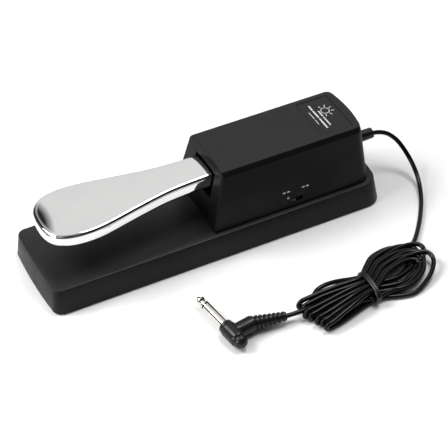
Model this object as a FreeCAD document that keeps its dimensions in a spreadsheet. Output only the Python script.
import FreeCAD, Part
import math
import os
import re
import Sketcher
from FreeCAD import Placement, Rotation, Vector

# Sustain pedal: a weighted base, a tall housing at the rear, a chrome lever that dips at the
# front, the switchwork inside and the free cord with its 6.35 mm plug.
# Frame: X across, -Y towards the player's foot, +Z up, origin at the middle of the underside.

SIZES = {
    # base
    "base_length": 250, "base_half": 36.3, "base_top_half": 33.4, "base_height": 19,
    "base_lift": 0.8, "base_wall": 2.4, "front_slope": 2.2, "rear_slope": 3.2,
    "plate_half": 32, "plate_bottom": 3, "plate_top": 5, "plate_half_length": 119,
    "boss_radius": 4, "base_screw_x": 24, "base_screw_y": 112,
    # housing
    "cover_height": 62.7, "cover_half": 30.2, "cover_top_half": 22, "cover_chamfer": 2.7,
    "cover_shoulder_half": 24.7, "cover_front": -6.1, "cover_rear": 117.2, "cover_top_front": 5.1,
    "cover_top_rear": 111.7, "cover_wall": 2.4, "cover_edge": 2,
    "slot_half": 13.6, "slot_low": 35.2, "slot_high": 55.2,
    "cover_screw_x": 22.6, "cover_screw_front": 15, "cover_screw_rear": 98,
    "badge_half": 18, "badge_front": 81.5, "badge_rear": 105, "badge_depth": 1,
    # lever
    "lever_low": 44.6, "lever_high": 54.6, "lever_skin": 1.6, "lever_crown": 150,
    "arm_half": 7, "arm_low": 47.6, "arm_high": 51.6, "arm_front": -74, "arm_rear": 88,
    "pivot_y": 62, "pivot_z": 45.2, "axle_radius": 2.5, "axle_play": 0.05, "hub_radius": 5.5,
    "bush_radius": 3.5, "bush_flange": 1, "cheek_inner": 8.1, "cheek_outer": 10.1,
    "bracket_x": 5, "bracket_front": 57.5, "bracket_rear": 78, "foot_front": 53.8, "foot_rear": 83,
    "lever_screw_front": -60, "lever_screw_rear": -14, "small_screw": 1.25,
    # spring and stops
    "spring_y": 22, "spring_radius": 6.2, "spring_wire": 0.8, "spring_turns": 6,
    "spring_foot": 21, "stop_half": 6, "roof": 60.3,
    # switches
    "micro_front": 33, "micro_rear": 53, "micro_half": 3.2, "micro_low": 32.8, "micro_high": 43,
    "plunger_y": 50, "plunger_radius": 1.2, "plunger_play": 0.05, "plunger_gap": 0.2,
    "micro_hole_z": 38, "micro_hole": 1.2, "micro_hole_front": 38, "micro_hole_rear": 48,
    "stand_x": 9, "stand_y": 43, "stand_plate": 1.6,
    "board_left": 13, "board_right": 26.4, "board_front": 40, "board_rear": 75.5,
    "board_low": 20.6, "board_high": 22.2, "board_hole_x": 15.5, "board_hole_front": 44,
    "board_hole_rear": 71.5, "slide_y": 56.7, "slide_z": 24.3,
    # cord and plug
    "cord_radius": 1.6, "exit_y": 132.6, "exit_z": 32.4, "clamp_x": 12, "clamp_y": 85.6,
    "lane_left": 14.4, "lane_right": 18.4,
    "plug_x": 105.5, "plug_y": -31.3, "plug_z": 5.9, "plug_turn": 188, "jack_radius": 3.175,
}

doc = FreeCAD.newDocument("sustain_pedal")
sheet = doc.addObject("Spreadsheet::Sheet", "Sizes")
for row, (alias, amount) in enumerate(SIZES.items(), start=1):
    sheet.set("A%d" % row, alias)
    sheet.set("B%d" % row, str(amount))
    sheet.setAlias("B%d" % row, alias)
doc.recompute()

nodes = []
X_AXIS, Y_AXIS, Z_AXIS = Vector(1, 0, 0), Vector(0, 1, 0), Vector(0, 0, 1)


def size(alias):
    return float(getattr(sheet, alias))


def formula(text):
    """Point every sheet alias in a formula at the sheet."""
    def aliased(match):
        word = match.group()
        return "Sizes." + word if word in SIZES else word

    return re.sub(r"[a-z][a-z_]*", aliased, str(text))


def bind(obj, **formulas):
    for name, text in formulas.items():
        obj.setExpression(name, formula(text))
    return obj


def place(obj, x, y, z, rotation=Rotation()):
    """Put an object at formulas of the sheet."""
    obj.Placement = Placement(Vector(), rotation)
    for axis, text in zip("xyz", (x, y, z)):
        obj.setExpression("Placement.Base." + axis, formula(text))
    return obj


def node(obj, label):
    """Give a finished sub-part its own name and list it for export."""
    obj.Label = label
    nodes.append(obj)
    return obj


def box(name, x, y, z):
    """A box between pairs of formulas (low, high) along X, Y and Z."""
    obj = doc.addObject("Part::Box", name)
    for side, (low, high) in zip(("Length", "Width", "Height"), (x, y, z)):
        obj.setExpression(side, formula("(%s) - (%s)" % (high, low)))
    return place(obj, x[0], y[0], z[0])


def rod(name, start, axis, radius, length):
    """A cylinder from a point given as formulas, along an axis."""
    obj = bind(doc.addObject("Part::Cylinder", name), Radius=radius, Height=length)
    return place(obj, *start, rotation=Rotation(Z_AXIS, axis))


def cone(name, start, axis, first, last, length):
    obj = bind(doc.addObject("Part::Cone", name), Radius1=first, Radius2=last, Height=length)
    return place(obj, *start, rotation=Rotation(Z_AXIS, axis))


def fuse(name, *shapes):
    obj = doc.addObject("Part::MultiFuse", name)
    obj.Shapes = list(shapes)
    return obj


def cut(name, base, *tools):
    obj = doc.addObject("Part::Cut", name)
    obj.Base = base
    obj.Tool = tools[0] if len(tools) == 1 else fuse(name + "_tools", *tools)
    return obj


def group(name, pieces):
    """Separate solids that share one node."""
    obj = doc.addObject("Part::Compound", name)
    obj.Links = list(pieces)
    return obj


def solid_feature(name, shape, placement=Placement()):
    obj = doc.addObject("Part::Feature", name)
    obj.Shape = shape
    obj.Placement = placement
    return obj


# ---------------------------------------------------------------- outlines for lofts and pads

def end_arcs(half, middle, bow, corner, side, dished):
    """Centres and radii of one end's wide arc and its corner arcs (side -1 front, +1 rear)."""
    wide = half * half / (2 * bow)
    outward = -side if dished else side
    centre = middle - outward * wide
    reach = wide + corner if dished else wide - corner
    corner_y = centre + outward * math.sqrt(reach * reach - (half - corner) ** 2)
    return wide, centre, outward, corner_y


def outline(body, name, height, half, front, rear):
    """A closed outline with bowed ends and rounded corners, symmetric about the YZ plane.

    front and rear are (middle, bow, corner radius, dished) and the first three of them, the
    height and the half width are formulas.
    """
    sketch = body.newObject("Sketcher::SketchObject", name)
    plane = [f for f in body.Origin.OriginFeatures if f.Role == "XY_Plane"][0]
    sketch.AttachmentSupport = (plane, [""])
    sketch.MapMode = "FlatFace"
    sketch.setExpression("AttachmentOffset.Base.z", formula(height))
    width = amount_of(half)
    ends = {}
    for side, (middle, bow, corner, dished) in ((-1, front), (1, rear)):
        ends[side] = end_arcs(width, *[amount_of(text) for text in (middle, bow, corner)], side, dished)

    def arc(x, y, radius, first, last):
        circle = Part.Circle(Vector(x, y, 0), Z_AXIS, radius)
        return sketch.addGeometry(Part.ArcOfCircle(circle, first, last), False)

    def corner_arc(side, sign, radius, dished):
        wide, centre, outward, corner_y = ends[side]
        x = sign * (width - radius)
        towards = math.atan2(centre - corner_y, -x) if dished else math.atan2(corner_y - centre, x)
        flank = 0 if sign > 0 else math.pi
        first, last = (towards, flank) if side * sign < 0 else (flank, towards)
        if last < first:
            last += 2 * math.pi
        return arc(x, corner_y, radius, first, last)

    def wide_arc(side, radius):
        wide, centre, outward, corner_y = ends[side]
        half_angle = math.atan2(width - radius, abs(corner_y - centre))
        middle_angle = math.pi / 2 if outward > 0 else 1.5 * math.pi
        return arc(0, centre, wide, middle_angle - half_angle, middle_angle + half_angle)

    def flank_line(x, first, last):
        line = Part.LineSegment(Vector(x, ends[first][3], 0), Vector(x, ends[last][3], 0))
        return sketch.addGeometry(line, False)

    front_radius, rear_radius = amount_of(front[2]), amount_of(rear[2])
    front_arc = wide_arc(-1, front_radius)
    front_right = corner_arc(-1, 1, front_radius, front[3])
    right = flank_line(width, -1, 1)
    rear_right = corner_arc(1, 1, rear_radius, rear[3])
    rear_arc = wide_arc(1, rear_radius)
    rear_left = corner_arc(1, -1, rear_radius, rear[3])
    left = flank_line(-width, 1, -1)
    front_left = corner_arc(-1, -1, front_radius, front[3])

    start, end = 1, 2
    front_ends = (end, start) if front[3] else (start, end)
    chain = [(front_arc,) + front_ends, (front_right, start, end), (right, start, end),
             (rear_right, start, end), (rear_arc, start, end), (rear_left, start, end),
             (left, start, end), (front_left, start, end)]
    for this, following in zip(chain, chain[1:] + chain[:1]):
        sketch.addConstraint(Sketcher.Constraint("Tangent", this[0], this[2], following[0], following[1]))

    def dimension(kind, text, *where):
        index = sketch.addConstraint(Sketcher.Constraint(kind, *where, amount_of(text)))
        sketch.setExpression("Constraints[%d]" % index, formula(text))

    centre_point = 3
    for line, text in ((right, half), (left, "-(%s)" % half)):
        sketch.addConstraint(Sketcher.Constraint("Vertical", line))
        dimension("DistanceX", text, -1, 1, line, start)
    ends_made = ((-1, front_arc, (front_right, front_left), front),
                 (1, rear_arc, (rear_right, rear_left), rear))
    for side, wide_id, pair, (middle, bow, corner, dished) in ends_made:
        outward = ends[side][2]
        radius_text = "(%s) * (%s) / (2 * (%s))" % (half, half, bow)
        sketch.addConstraint(Sketcher.Constraint("PointOnObject", wide_id, centre_point, -2))
        centre_text = "(%s) - %d * %s" % (middle, outward, radius_text)
        dimension("DistanceY", centre_text, -1, 1, wide_id, centre_point)
        dimension("Radius", radius_text, wide_id)
        for corner_id in pair:
            dimension("Radius", corner, corner_id)
    return sketch


def amount_of(text):
    """The number that a formula of the sheet gives, read back through a spare cell."""
    sheet.set("D1", "=" + re.sub(r"Sizes\.", "", formula(text)))
    sheet.recompute()
    return float(sheet.get("D1"))


def loft(body, name, kind, first, *others):
    obj = body.newObject("PartDesign::" + kind, name)
    obj.Profile = first
    obj.Sections = list(others)
    obj.Ruled = True
    return obj


def pad(body, name, sketch, length):
    obj = body.newObject("PartDesign::Pad", name)
    obj.Profile = sketch
    obj.setExpression("Length", formula(length))
    return obj


def screws(label, places, axis, head, shank):
    """Pan-head screws that share a node: head and shank are (radius, length), heads at places."""
    pieces = []
    for count, (x, y, z) in enumerate(places, start=1):
        head_end = [str(c) if a == 0 else "(%s) + %s" % (c, a * head[1]) for c, a in zip((x, y, z), axis)]
        top = rod("%s_head_%d" % (label, count), (x, y, z), axis, head[0], head[1])
        stem = rod("%s_stem_%d" % (label, count), head_end, axis, shank[0], shank[1])
        back = [str(c) if a == 0 else "(%s) + %s" % (c, a * -0.1) for c, a in zip((x, y, z), axis)]
        drive = rod("%s_drive_%d" % (label, count), back, axis, head[0] * 0.4, head[1] * 0.5 + 0.1)
        pieces.append(cut("%s_%d" % (label, count), fuse("%s_body_%d" % (label, count), top, stem), drive))
    return node(group(label, pieces), label)


# ---------------------------------------------------------------- base

def base_places():
    x, y = size("base_screw_x"), size("base_screw_y")
    return [(sx * x, sy * y) for sy in (-1, 0, 1) for sx in (-1, 1)]


def cover_places():
    x = size("cover_screw_x")
    return [(sx * x, size("cover_screw_" + end)) for end in ("front", "rear") for sx in (-1, 1)]


def bracket_places():
    x = size("bracket_x")
    return [(sx * x, size("bracket_" + end)) for end in ("front", "rear") for sx in (-1, 1)]


def board_places():
    return [(size("board_hole_x"), size("board_hole_" + end)) for end in ("front", "rear")]


def make_base_shell():
    body = doc.addObject("PartDesign::Body", "base_blank")
    low = outline(body, "base_low", "base_lift", "base_half", ("-base_length / 2", "1.8", "7", False),
                  ("base_length / 2", "3.4", "13", False))
    rim = []
    steps = (("base_rim_low", 0.9, -0.1), ("base_rim_mid", 0.3, 0.2), ("base_rim_top", 0, 0.9))
    for name, drop, inset in steps:
        rim.append(outline(body, name, "base_height - %s" % drop, "base_top_half - %s" % inset,
                           ("-base_length / 2 + front_slope + %s" % inset, "0.9", "5.5", False),
                           ("base_length / 2 - rear_slope - %s" % inset, "2.6", "12.5", False)))
    loft(body, "base_outer", "AdditiveLoft", low, *rim)
    inner_low = outline(body, "base_inner_low", "base_lift", "base_half - base_wall",
                        ("-base_length / 2 + base_wall", "1.6", "5.5", False),
                        ("base_length / 2 - base_wall", "3", "11", False))
    inner_high = outline(body, "base_inner_high", "base_height - base_wall",
                         "base_top_half - base_wall + 0.4",
                         ("-base_length / 2 + front_slope + base_wall", "0.8", "4.5", False),
                         ("base_length / 2 - rear_slope - base_wall", "2.4", "10.5", False))
    loft(body, "base_inner", "SubtractiveLoft", inner_low, inner_high)

    posts, holes = [], []
    under = "base_height - base_wall - 0.5"
    for count, (x, y) in enumerate(base_places(), start=1):
        posts.append(rod("base_post_%d" % count, (x, y, "plate_top"), Z_AXIS, "boss_radius",
                         "base_height - base_wall / 2 - plate_top"))
        holes.append(rod("base_pilot_%d" % count, (x, y, "plate_top - 1"), Z_AXIS, 1.45, 10))
    for count, (x, y) in enumerate(cover_places() + bracket_places() + board_places(), start=1):
        radius = 1.7 if count <= len(cover_places()) else "small_screw"
        holes.append(rod("base_bore_%d" % count, (x, y, under), Z_AXIS, radius, 4))
    holes.append(rod("clamp_bore", ("clamp_x", "clamp_y", under), Z_AXIS, "small_screw", 4))
    holes.append(rod("stand_bore", ("stand_x", "stand_y", under), Z_AXIS, "small_screw", 4))
    for y in (-70, -35, 40, 75):
        posts.append(box("base_rib_%d" % (y + 100), ("-base_top_half + 1", "base_top_half - 1"),
                         (y - 0.9, y + 0.9), (10, "base_height - 1")))
    shell = fuse("base_solid", body, *posts)
    return node(cut("base_shell", shell, *holes), "base_shell")


def make_plate_and_sole():
    body = doc.addObject("PartDesign::Body", "plate_blank")
    sketch = outline(body, "plate_outline", "plate_bottom", "plate_half",
                     ("-plate_half_length", "1.5", "5", False), ("plate_half_length", "2.8", "10", False))
    pad(body, "plate_pad", sketch, "plate_top - plate_bottom")
    holes = [rod("plate_hole_%d" % n, (x, y, "plate_bottom - 1"), Z_AXIS, 1.6, 4)
             for n, (x, y) in enumerate(base_places(), 1)]
    node(cut("bottom_plate", body, *holes), "bottom_plate")

    body = doc.addObject("PartDesign::Body", "sole_blank")
    sketch = outline(body, "sole_outline", "0", "plate_half + 0.8",
                     ("-plate_half_length - 0.8", "1.5", "5.6", False),
                     ("plate_half_length + 0.8", "2.8", "10.6", False))
    pad(body, "sole_pad", sketch, "plate_bottom")
    holes = [rod("sole_hole_%d" % n, (x, y, -1), Z_AXIS, 4, "plate_bottom + 2")
             for n, (x, y) in enumerate(base_places(), 1)]
    grooves = [box("sole_groove_%d" % n, (-26, 26), (y - 0.8, y + 0.8), (-1, 0.7))
               for n, y in enumerate(range(-90, 91, 12), 1)]
    node(cut("rubber_sole", body, *(holes + grooves)), "rubber_sole")
    screws("plate_screws", [(x, y, 1.2) for x, y in base_places()], Z_AXIS, (3, 1.8), (1.45, 9.5))


# ---------------------------------------------------------------- housing

def make_housing_cover():
    body = doc.addObject("PartDesign::Body", "cover_blank")
    low = outline(body, "cover_low", "base_height", "cover_half",
                  ("cover_front + 2", "2", "cover_edge", True), ("cover_rear", "2.8", "9", False))
    shoulder = outline(body, "cover_shoulder", "cover_height - cover_chamfer", "cover_shoulder_half",
                       ("cover_top_front - 0.6", "2", "cover_edge", True),
                       ("cover_top_rear + 0.3", "2.6", "6", False))
    high = outline(body, "cover_high", "cover_height", "cover_top_half",
                   ("cover_top_front", "2", "cover_edge - 0.2", True),
                   ("cover_top_rear", "2.4", "4.5", False))
    loft(body, "cover_walls", "AdditiveLoft", low, shoulder)
    loft(body, "cover_cap", "AdditiveLoft", shoulder, high)
    inner_low = outline(body, "cover_inner_low", "base_height", "cover_half - cover_wall",
                        ("cover_front + 2 + cover_wall", "1.8", "0.6", True),
                        ("cover_rear - cover_wall", "2.6", "7", False))
    inner_high = outline(body, "cover_inner_high", "roof", "cover_shoulder_half - cover_wall - 0.5",
                         ("cover_top_front - 0.6 + cover_wall", "1.8", "0.6", True),
                         ("cover_top_rear + 0.3 - cover_wall", "2.4", "4", False))
    loft(body, "cover_hollow", "SubtractiveLoft", inner_low, inner_high)

    posts = [rod("cover_post_%d" % n, (x, y, "base_height"), Z_AXIS, 3.6, 19)
             for n, (x, y) in enumerate(cover_places(), 1)]
    pilots = [rod("cover_pilot_%d" % n, (x, y, "base_height - 1"), Z_AXIS, 1.5, 14)
              for n, (x, y) in enumerate(cover_places(), 1)]
    slot = box("lever_slot", ("-slot_half", "slot_half"), ("cover_front - 4", "cover_top_front + 8"),
               ("slot_low", "slot_high"))
    window = box("slide_window", ("cover_half - 8", "cover_half + 3"), ("slide_y - 5", "slide_y + 5"),
                 ("slide_z - 1.8", "slide_z + 1.8"))
    hole = rod("gland_hole", (0, "cover_top_rear - 6", "exit_z"), Y_AXIS, 3.6, 14)
    recess = box("badge_recess", ("-badge_half - 0.3", "badge_half + 0.3"),
                 ("badge_front - 0.3", "badge_rear + 0.3"),
                 ("cover_height - badge_depth", "cover_height + 1"))
    shell = fuse("cover_solid", body, *posts)
    node(cut("housing_cover", shell, slot, window, hole, recess, *pilots), "housing_cover")

    plate = box("badge_blank", ("-badge_half", "badge_half"), ("badge_front", "badge_rear"),
                ("cover_height - badge_depth", "cover_height - badge_depth + 0.7"))
    node(plate, "badge_plate")
    screws("housing_screws", [(x, y, "base_height - base_wall - 1.8") for x, y in cover_places()], Z_AXIS,
           (3, 1.8), (1.5, 13))


# ---------------------------------------------------------------- lever and its pivot

# half width of the lever's plan at each distance forward of the origin
LEVER_PLAN = [(12.2, -6), (12.4, 6), (13.4, 24), (15.6, 40), (19.6, 60), (23.2, 78), (24.4, 92),
              (22.6, 105), (17, 114), (9, 117.6)]


def lever_solid(inset, low, crown_drop):
    """The lever's spoon plan raised to a lightly crowned top."""
    right = [Vector(w - inset, -forward, low) for w, forward in LEVER_PLAN]
    if inset:
        right[-2:] = [Vector(17 - inset * 0.8, -114 + inset * 0.7, low), Vector(9, -117.6 + inset, low)]
    nose = Vector(0, -118.4 + inset, low)
    left = [Vector(-p.x, p.y, p.z) for p in reversed(right)]
    curve = Part.BSplineCurve()
    curve.interpolate(right + [nose] + left)
    wire = Part.Wire([curve.toShape(), Part.LineSegment(left[-1], right[0]).toShape()])
    block = Part.Face(wire).extrude(Vector(0, 0, 14))
    radius = size("lever_crown")
    crown = Part.makeCylinder(radius, 140, Vector(0, 12, size("lever_high") - crown_drop - radius), -Y_AXIS)
    return block.common(crown)


def lever_screw_places():
    return [size("lever_screw_" + end) for end in ("front", "rear")]


def make_lever():
    low = size("lever_low")
    outer = lever_solid(0, low, 0)
    high = size("lever_high")

    def is_rim(edge):
        bounds = edge.BoundBox
        return bounds.ZMin > low + 3 and bounds.YMin < -20 and bounds.YMax > -30

    outer = outer.makeFillet(2.6, [edge for edge in outer.Edges if is_rim(edge)])
    skin = size("lever_skin")
    inner = lever_solid(skin, low - 1, skin)
    hollow = outer.cut(inner)
    seat = size("arm_high")
    bosses = [Part.makeCylinder(4, high - seat - 0.9, Vector(0, y, seat)) for y in lever_screw_places()]
    pilots = [Part.makeCylinder(1.6, 2, Vector(0, y, seat - 0.5)) for y in lever_screw_places()]
    whole = hollow.fuse(bosses).cut(pilots[0]).cut(pilots[1]).removeSplitter()
    node(solid_feature("pedal_lever", whole), "pedal_lever")

    bar = box("arm_bar", ("-arm_half", "arm_half"), ("arm_front", "arm_rear"), ("arm_low", "arm_high"))
    hub = rod("arm_hub", ("-arm_half", "pivot_y", "pivot_z"), X_AXIS, "hub_radius", "2 * arm_half")
    bore = rod("arm_bore", ("-arm_half - 1", "pivot_y", "pivot_z"), X_AXIS, "bush_radius", "2 * arm_half + 2")
    holes = [rod("arm_hole_%d" % n, (0, y, "arm_low - 1"), Z_AXIS, 1.6, 6)
             for n, y in enumerate(lever_screw_places(), 1)]
    node(cut("lever_arm", fuse("arm_solid", bar, hub), bore, *holes), "lever_arm")
    screws("lever_screws", [(0, y, "arm_low - 1.6") for y in lever_screw_places()], Z_AXIS,
           (3, 1.6), (1.6, 5.3))

    bushes = []
    for sign, name in ((-1, "left"), (1, "right")):
        outward = sign * X_AXIS
        sleeve = rod("bush_sleeve_" + name, (sign * 0.5, "pivot_y", "pivot_z"), outward, "bush_radius",
                     "arm_half - 0.5")
        flange = rod("bush_flange_" + name, ("%d * arm_half" % sign, "pivot_y", "pivot_z"), outward,
                     "hub_radius - 0.3", "bush_flange")
        hole = rod("bush_hole_" + name, (0, "pivot_y", "pivot_z"), outward, "axle_radius + axle_play", 12)
        bushes.append(cut("bush_" + name, fuse("bush_solid_" + name, sleeve, flange), hole))
    node(group("pivot_bushes", bushes), "pivot_bushes")
    node(rod("axle", (-13, "pivot_y", "pivot_z"), X_AXIS, "axle_radius", 26), "pivot_axle")
    clips = []
    for sign, name in ((-1, "left"), (1, "right")):
        seat_x = "%d * (cheek_outer + 0.1)" % sign
        disc = rod("clip_disc_" + name, (seat_x, "pivot_y", "pivot_z"), sign * X_AXIS, 4.6, 0.8)
        eye = rod("clip_eye_" + name, (0, "pivot_y", "pivot_z"), sign * X_AXIS, "axle_radius", 14)
        mouth = box("clip_mouth_" + name, (-13, 13), ("pivot_y - 1.9", "pivot_y + 1.9"),
                    ("pivot_z - 6", "pivot_z"))
        clips.append(cut("clip_" + name, disc, eye, mouth))
    node(group("axle_clips", clips), "axle_clips")


def make_pivot_bracket():
    foot = box("bracket_foot", ("-cheek_outer", "cheek_outer"), ("foot_front", "foot_rear"),
               ("base_height", "base_height + 2"))
    cheeks = [box("cheek_%d" % (s + 2), sorted_pair(s, "cheek_inner", "cheek_outer"),
                  ("pivot_y - 8", "pivot_y + 8"), ("base_height + 1", "pivot_z + 6")) for s in (-1, 1)]
    bore = rod("bracket_bore", (-15, "pivot_y", "pivot_z"), X_AXIS, "axle_radius", 30)
    holes = [rod("bracket_hole_%d" % n, (x, y, "base_height - 1"), Z_AXIS, "small_screw", 5)
             for n, (x, y) in enumerate(bracket_places(), 1)]
    node(cut("pivot_bracket", fuse("bracket_solid", foot, *cheeks), bore, *holes), "pivot_bracket")
    screws("bracket_screws", [(x, y, "base_height + 3.6") for x, y in bracket_places()], -Z_AXIS,
           (2.4, 1.6), (1.25, 4.4))


def sorted_pair(sign, near, far):
    return (near, far) if sign > 0 else ("-" + far, "-" + near)


# ---------------------------------------------------------------- return spring and stops

def make_spring_and_stops():
    foot, top = size("spring_foot"), size("arm_low") - 0.1
    wire, radius = size("spring_wire"), size("spring_radius")
    rise = top - foot - 2 * wire
    helix = Part.makeHelix(rise / size("spring_turns"), rise, radius)
    profile = Part.Wire([Part.Circle(Vector(radius, 0, 0), Y_AXIS, wire).toShape()])
    coil = Part.Wire(helix.Edges).makePipeShell([profile], True, True)
    stand = Placement(Vector(0, size("spring_y"), foot + wire), Rotation())
    node(solid_feature("return_spring", coil, stand), "return_spring")

    cup = rod("cup_wall", (0, "spring_y", "base_height"), Z_AXIS, "spring_radius + spring_wire + 2", 5)
    well = rod("cup_well", (0, "spring_y", "spring_foot"), Z_AXIS, "spring_radius + spring_wire + 0.4", 6)
    peg = rod("cup_peg", (0, "spring_y", "base_height + 1"), Z_AXIS, "spring_radius - spring_wire - 0.8", 8)
    node(fuse("spring_cup", cut("cup_ring", cup, well), peg), "spring_cup")
    node(box("up_pad", ("-stop_half", "stop_half"), (10, 15.5), ("arm_high + 0.1", "roof")), "up_stop_pad")
    node(box("down_pad", ("-stop_half", "stop_half"), (83, 88.5), (55.4, "roof")), "down_stop_pad")


# ---------------------------------------------------------------- switches, board and inner lead

def make_micro_switch():
    case = box("micro_case", ("-micro_half", "micro_half"), ("micro_front", "micro_rear"),
               ("micro_low", "micro_high"))
    well = rod("micro_well", (0, "plunger_y", "micro_high - 4"), Z_AXIS, "plunger_radius + plunger_play", 6)
    ends = ("front", "rear")
    eyes = [rod("micro_eye_" + end, (-5, "micro_hole_" + end, "micro_hole_z"), X_AXIS, "micro_hole", 10)
            for end in ends]
    node(cut("micro_switch_body", case, well, *eyes), "micro_switch_body")
    node(rod("plunger", (0, "plunger_y", "micro_high - 2"), Z_AXIS, "plunger_radius",
             "arm_low - plunger_gap - micro_high + 2"), "micro_switch_plunger")
    tabs = [box("tab_%d" % y, (-0.3, 0.3), (y - 1.5, y + 1.5), ("micro_low - 5", "micro_low"))
            for y in (35, 43, 51)]
    node(group("micro_switch_tabs", tabs), "micro_switch_tabs")
    upright = box("stand_upright", ("micro_half", "micro_half + stand_plate"), ("micro_front", "micro_rear"),
                  ("base_height", "micro_high - 0.4"))
    foot = box("stand_foot", ("micro_half", "stand_x + 3.4"), ("stand_y - 9", "stand_y + 9"),
               ("base_height", "base_height + stand_plate"))
    eyes = [rod("stand_eye_" + end, (0, "micro_hole_" + end, "micro_hole_z"), X_AXIS, "micro_hole", 8)
            for end in ends]
    anchor = rod("stand_anchor", ("stand_x", "stand_y", "base_height - 1"), Z_AXIS, "small_screw", 4)
    node(cut("switch_stand", fuse("stand_solid", upright, foot), anchor, *eyes), "switch_stand")
    heads = [("-micro_half - 1.4", "micro_hole_" + end, "micro_hole_z") for end in ends]
    screws("switch_screws", heads, X_AXIS, (2.2, 1.4), (1.2, 10.4))
    nuts = []
    for end in ends:
        blank = bind(doc.addObject("Part::Prism", "nut_blank_" + end), Circumradius=2.5, Height=1.6)
        sideways = Rotation(Z_AXIS, X_AXIS)
        place(blank, "micro_half + stand_plate", "micro_hole_" + end, "micro_hole_z", sideways)
        eye = rod("nut_eye_" + end, (0, "micro_hole_" + end, "micro_hole_z"), X_AXIS, "micro_hole", 12)
        nuts.append(cut("nut_" + end, blank, eye))
    node(group("switch_nuts", nuts), "switch_nuts")
    screws("stand_screw", [("stand_x", "stand_y", "base_height + 3.2")], -Z_AXIS, (2.3, 1.6), (1.25, 4))


def make_polarity_switch():
    board = box("board_blank", ("board_left", "board_right"), ("board_front", "board_rear"),
                ("board_low", "board_high"))
    holes = [rod("board_hole_%d" % n, (x, y, "board_low - 1"), Z_AXIS, "small_screw", 4)
             for n, (x, y) in enumerate(board_places(), 1)]
    node(cut("circuit_board", board, *holes), "circuit_board")
    spacers = []
    for n, (x, y) in enumerate(board_places(), 1):
        barrel = rod("spacer_tube_%d" % n, (x, y, "base_height"), Z_AXIS, 2.4, "board_low - base_height")
        eye = rod("spacer_eye_%d" % n, (x, y, "base_height - 1"), Z_AXIS, "small_screw", 5)
        spacers.append(cut("spacer_%d" % n, barrel, eye))
    node(group("board_spacers", spacers), "board_spacers")
    screws("board_screws", [(x, y, "board_high + 1.4") for x, y in board_places()], -Z_AXIS,
           (2.3, 1.4), (1.25, 5.6))
    case = box("slide_case", (19.5, 25.8), ("slide_y - 8", "slide_y + 8"), ("board_high", "board_high + 4.6"))
    track = box("slide_track", (21.2, 27), ("slide_y - 5.2", "slide_y + 5.2"),
                ("slide_z - 1.4", "slide_z + 1.4"))
    node(cut("polarity_switch_body", case, track), "polarity_switch_body")
    knob = box("slide_knob", (21.4, "cover_half - 1"), ("slide_y - 4.6", "slide_y - 0.4"),
               ("slide_z - 1.2", "slide_z + 1.2"))
    node(knob, "polarity_slider")


# centre line of the lead inside the housing, from the gland to the board
INNER_ROUTE = [(0, 124.9, 32.4), (0, 111, 32.4), (4.5, 101, 27.5), (13, 95.5, 21.8), (16.6, 88.5, 20.65),
               (16.6, 76, 20.65)]
# centre line of the free lead, from the gland down to the floor and on to the hank
LEAD_ROUTE = [(0, 124.9, 32.4), (0, 139, 32.4), (5.5, 149.8, 26), (17, 155, 14.5), (30, 154.8, 6.3),
              (45, 148.5, 2.2), (60, 138.5, 1.65), (73, 128, 1.65), (84, 117, 1.8), (91, 107.5, 3.4)]
# short end of the cord between the hank and the plug's boot
TAIL_ROUTE = [(108.2, 21, 6), (108.3, 13, 6), (107.4, 5, 5.9)]


def tube(label, points, radius):
    """Straight runs joined by tangent arcs, swept with a round section."""
    share_of_run = 0.45
    points = [Vector(*p) for p in points]
    edges, start, radii = [], points[0], []
    for before, at, after in zip(points, points[1:], points[2:]):
        run_in, run_out = at - before, after - at
        half_turn = run_in.getAngle(run_out) / 2
        tangent = share_of_run * min(run_in.Length, run_out.Length)
        radii.append(tangent / math.tan(half_turn))
        into, out = Vector(run_in).normalize(), Vector(run_out).normalize()
        arc_start, arc_end = at - into * tangent, at + out * tangent
        inward = (out - into).normalize()
        rise = radii[-1] / math.cos(half_turn) - radii[-1]
        edges.append(Part.LineSegment(start, arc_start).toShape())
        edges.append(Part.Arc(arc_start, at + inward * rise, arc_end).toShape())
        start = arc_end
    edges.append(Part.LineSegment(start, points[-1]).toShape())
    path = Part.Wire(edges)
    profile = Part.Wire([Part.Circle(points[0], points[1] - points[0], radius).toShape()])
    shape = path.makePipeShell([profile], True, False)
    expected = math.pi * radius * radius * path.Length
    print(label, "length %.1f" % path.Length, "volume ratio %.4f" % (shape.Volume / expected),
          "radii", ["%.1f" % r for r in radii])
    return node(solid_feature(label, shape), label)


def make_cord():
    radius = size("cord_radius")
    tube("inner_lead", INNER_ROUTE, radius)
    tube("cord_lead", LEAD_ROUTE, radius)
    tube("cord_tail", TAIL_ROUTE, radius)

    grip = cone("gland_grip", (0, "cover_rear - 2.6", "exit_z"), Y_AXIS, 4.4, 3.8,
                "exit_y - cover_rear + 2.6")
    neck = rod("gland_neck", (0, "cover_rear - 9", "exit_z"), Y_AXIS, 3.6, 8)
    collar = rod("gland_collar", (0, "cover_rear - 10", "exit_z"), Y_AXIS, 5, 2.5)
    bore = rod("gland_bore", (0, "cover_rear - 20", "exit_z"), Y_AXIS, "cord_radius", 40)
    node(cut("cord_gland", fuse("gland_solid", grip, neck, collar), bore), "cord_gland")

    bridge = box("clamp_bridge", ("clamp_x - 2.6", "lane_right + 1.2"), ("clamp_y - 2.2", "clamp_y + 2.2"),
                 ("base_height", "base_height + 5.5"))
    lane = box("clamp_lane", ("lane_left", "lane_right"), ("clamp_y - 4", "clamp_y + 4"),
               ("base_height - 1", "base_height + 3.4"))
    eye = rod("clamp_eye", ("clamp_x", "clamp_y", "base_height - 1"), Z_AXIS, "small_screw", 8)
    node(cut("cord_clamp", bridge, lane, eye), "cord_clamp")
    screws("clamp_screw", [("clamp_x", "clamp_y", "base_height + 7")], -Z_AXIS, (2.3, 1.5), (1.25, 8))


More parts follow.
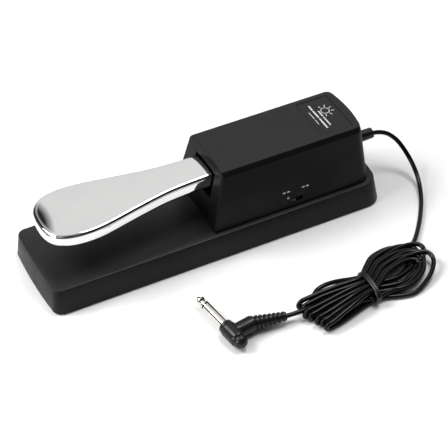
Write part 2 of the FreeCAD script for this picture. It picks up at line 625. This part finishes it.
# sections of the tied hank: place along it, sideways middle, half width, middle height, half height
HANK_SECTIONS = [(-43, -2.6, 13.2, 5, 3.8), (-36, -2.8, 16, 5.6, 5.4), (-22, -5.6, 19, 5.6, 5.4),
                 (-10, -5, 16, 5.8, 5.6), (5, -1.8, 12.4, 6, 5.8), (18, -2.6, 18, 5.8, 5.6),
                 (30, -3.4, 21.8, 5.4, 5.2), (44, -5, 20, 5, 4.8), (55, -8.5, 14.5, 4.4, 4.1),
                 (61.2, -13, 8, 3.6, 3)]
HANK_PLACE = Placement(Vector(112, 62.5, 0), Rotation(Z_AXIS, 8))


def ellipse_wire(along, middle, half, height, half_height):
    ellipse = Part.Ellipse(Vector(middle + half, along, height), Vector(middle, along, height + half_height),
                           Vector(middle, along, height))
    return Part.Wire([ellipse.toShape()])


def make_hank():
    wires = [ellipse_wire(*section) for section in HANK_SECTIONS]
    node(solid_feature("cord_hank", Part.makeLoft(wires, True, False), HANK_PLACE), "cord_hank")
    outer = Part.Face(ellipse_wire(3.4, -1.8, 14, 6.4, 6.4)).extrude(Vector(0, 3.2, 0))
    inner = Part.Face(ellipse_wire(2.4, -1.8, 12.6, 6.4, 5.6)).extrude(Vector(0, 5.2, 0))
    node(solid_feature("hank_tie", outer.cut(inner), HANK_PLACE), "hank_tie")


# ---------------------------------------------------------------- plug

def revolve(profile, placement):
    """Turn a half profile of (distance along, radius) about the local X axis."""
    points = [Vector(along, radius, 0) for along, radius in profile]
    face = Part.Face(Part.makePolygon(points + points[:1]))
    return face.revolve(Vector(), X_AXIS, 360), placement


def plug_trunk():
    """The plug's moulded trunk, turned as one solid with its domed end."""
    dome_centre, dome = -8.4, 4.7
    neck = -7.4
    neck_radius = math.sqrt(dome * dome - (neck - dome_centre) ** 2)
    slant = math.radians(45)
    on_dome = Vector(dome_centre - dome * math.cos(slant), dome * math.sin(slant), 0)
    corners = [(neck, neck_radius), (-6.9, 5.3), (-6, 5.6), (4.8, 5.6), (5.6, 5.2), (6, 4.4), (6, 0)]
    points = [Vector(along, radius, 0) for along, radius in corners]
    edges = [Part.LineSegment(a, b).toShape() for a, b in zip(points, points[1:])]
    pole = Vector(dome_centre - dome, 0, 0)
    edges.append(Part.LineSegment(points[-1], pole).toShape())
    edges.append(Part.Arc(pole, on_dome, points[0]).toShape())
    return Part.Face(Part.Wire(edges)).revolve(Vector(), X_AXIS, 360)


def make_plug():
    turn = size("plug_turn")
    place_of_plug = Placement(Vector(size("plug_x"), size("plug_y"), size("plug_z")), Rotation(Z_AXIS, turn))
    jack = size("jack_radius")
    start, ring, tip = 8.5, 29, 39
    core, ring_radius, ring_end = 1.2, 2.9, 30.2
    sleeve = [(start, core), (ring, core), (ring, jack), (start, jack)]
    insulator = [(ring, core), (ring_end, core), (ring_end, ring_radius), (ring, ring_radius)]
    point = [(start + 2, 0), (tip, 0), (tip, 0.7), (tip - 0.5, 1.5), (tip - 3.2, jack), (tip - 4.2, jack),
             (tip - 5.4, 2.3), (tip - 6.4, 2.3), (tip - 7.6, jack), (ring_end, jack), (ring_end, core),
             (start + 2, core)]
    collar = [(6, 0), (start, 0), (start, 4.6), (7.9, 5), (6, 5)]
    for label, profile in (("plug_sleeve", sleeve), ("plug_insulator", insulator), ("plug_tip", point),
                           ("plug_collar", collar)):
        node(solid_feature(label, *revolve(profile, place_of_plug)), label)

    arm_length = 15
    arm = Part.makeCone(5.2, 5.5, arm_length, Vector(), -Y_AXIS)
    node(solid_feature("plug_body", plug_trunk().fuse(arm), place_of_plug), "plug_body")

    ribs, step, first = 8, 3, -1
    bore = size("cord_radius")
    profile = [(first, bore)]
    for count in range(ribs):
        at = first + count * step
        radius = 5.1 - 0.25 * count
        profile += [(at, radius - 0.7), (at + 0.5, radius), (at + 2, radius - 0.1), (at + 2.4, radius - 0.8)]
    last = first + ribs * step
    profile += [(last, 2.9), (last, bore)]
    lean = 18
    arm_face = place_of_plug.multVec(Vector(0, -arm_length, 0))
    toward_cord = Placement(arm_face, Rotation(Z_AXIS, turn - 90 - lean))
    node(solid_feature("plug_boot", *revolve(profile, toward_cord)), "plug_boot")
    print("boot end", toward_cord.multVec(Vector(last, 0, 0)))


make_base_shell()
make_plate_and_sole()
make_housing_cover()
make_lever()
make_pivot_bracket()
make_spring_and_stops()
make_micro_switch()
make_polarity_switch()
make_cord()
make_hank()
make_plug()
doc.recompute()

problems = [o.Name for o in doc.Objects if "Invalid" in o.State or "Error" in o.State]
problems += [o.Label for o in nodes if o.Shape.isNull() or not o.Shape.isValid()]
if problems:
    raise RuntimeError("failed objects: " + ", ".join(problems))

os.makedirs("parts", exist_ok=True)
for obj in nodes:
    obj.Shape.exportStep("parts/%s.step" % obj.Label)
print(len(nodes), "nodes,", sum(len(o.Shape.Solids) for o in nodes), "solids")
